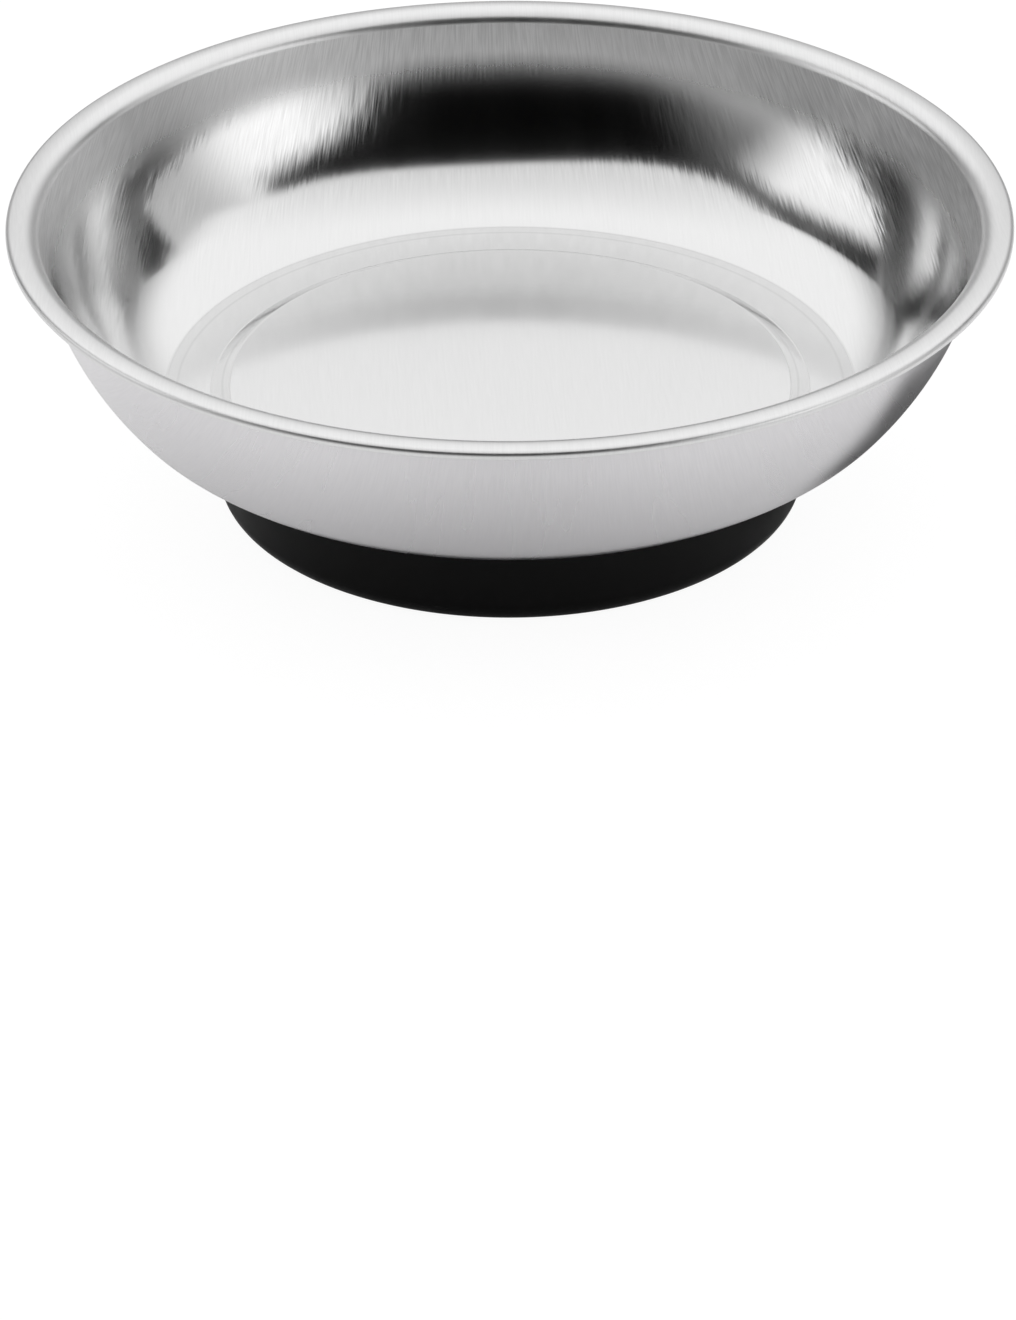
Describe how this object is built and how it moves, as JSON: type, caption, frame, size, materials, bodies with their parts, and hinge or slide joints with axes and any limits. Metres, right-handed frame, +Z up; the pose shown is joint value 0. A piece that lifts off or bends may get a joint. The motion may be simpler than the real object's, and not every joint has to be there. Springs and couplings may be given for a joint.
{
  "type": "magnetic parts bowl",
  "caption": "Shallow round dish of brushed stainless steel with a turned rim, bonded to a ring magnet in a black rubber cup, for holding small steel parts.",
  "frame": {"origin": "centre of the base cup's flat foot, on the surface that the bowl stands on", "axes": "+Z up, along the axis of revolution; the bowl is round, so +X and +Y are alike"},
  "size_m": [0.15, 0.15, 0.0456],
  "materials": {
    "stainless_steel": "satin",
    "black_rubber": "satin",
    "ferrite": "matte",
    "adhesive": "matte"
  },
  "bodies": {
    "root": {"bowl": "stainless_steel", "base_cup": "black_rubber", "ring_magnet": "ferrite", "bowl_bond": "adhesive", "cup_bond": "adhesive"}
  },
  "joints": []
}
